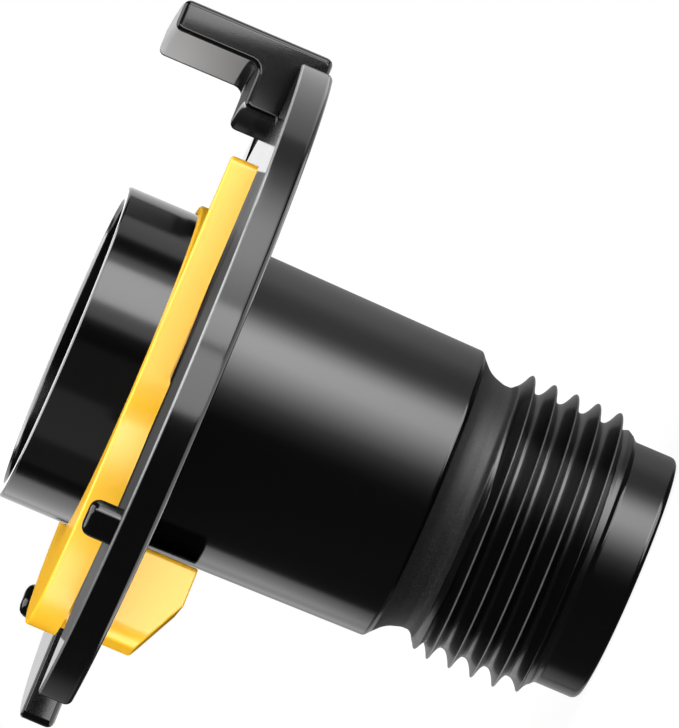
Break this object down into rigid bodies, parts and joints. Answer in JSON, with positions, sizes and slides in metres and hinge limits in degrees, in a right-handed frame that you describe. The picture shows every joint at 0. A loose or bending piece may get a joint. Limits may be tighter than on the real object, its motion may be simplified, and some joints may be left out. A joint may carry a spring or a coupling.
{
  "type": "sewer hose bayonet fitting",
  "caption": "Hose fitting with a threaded barrel, a swivelling bayonet flange with a long hook, and a yellow spring lock ring with a thumb lever.",
  "frame": {"origin": "on the bore axis at the nose end, the hose end, which the fitting stands on", "axes": "+Z along the bore from the nose to the mouth, +X through the hook of the flange, -X through the thumb lever"},
  "size_m": [0.1438, 0.1454, 0.1268],
  "materials": {
    "barrel_plastic": "gloss moulded black, matte on the thread and neck",
    "flange_plastic": "satin moulded black",
    "lock_plastic": "satin moulded yellow",
    "seal_rubber": "matte black rubber",
    "washer_nylon": "natural nylon"
  },
  "bodies": {
    "barrel": {"hose_barrel": "barrel_plastic", "mouth_sleeve": "barrel_plastic", "sleeve_o_ring": "seal_rubber", "swivel_o_ring": "seal_rubber", "mouth_gasket": "seal_rubber", "friction_washer": "washer_nylon"},
    "flange": {"bayonet_flange": "flange_plastic"},
    "ring": {"lock_ring": "lock_plastic"}
  },
  "joints": [
    {"name": "flange_swivel", "type": "hinge", "parent": "barrel", "child": "flange", "pos_m": [0, 0, 0.0979], "axis": [0, 0, 1], "continuous": true},
    {"name": "ring_turn", "type": "hinge", "parent": "flange", "child": "ring", "pos_m": [0, 0, 0.10485], "axis": [0, 0, 1], "range_deg": [-7, 7]}
  ]
}
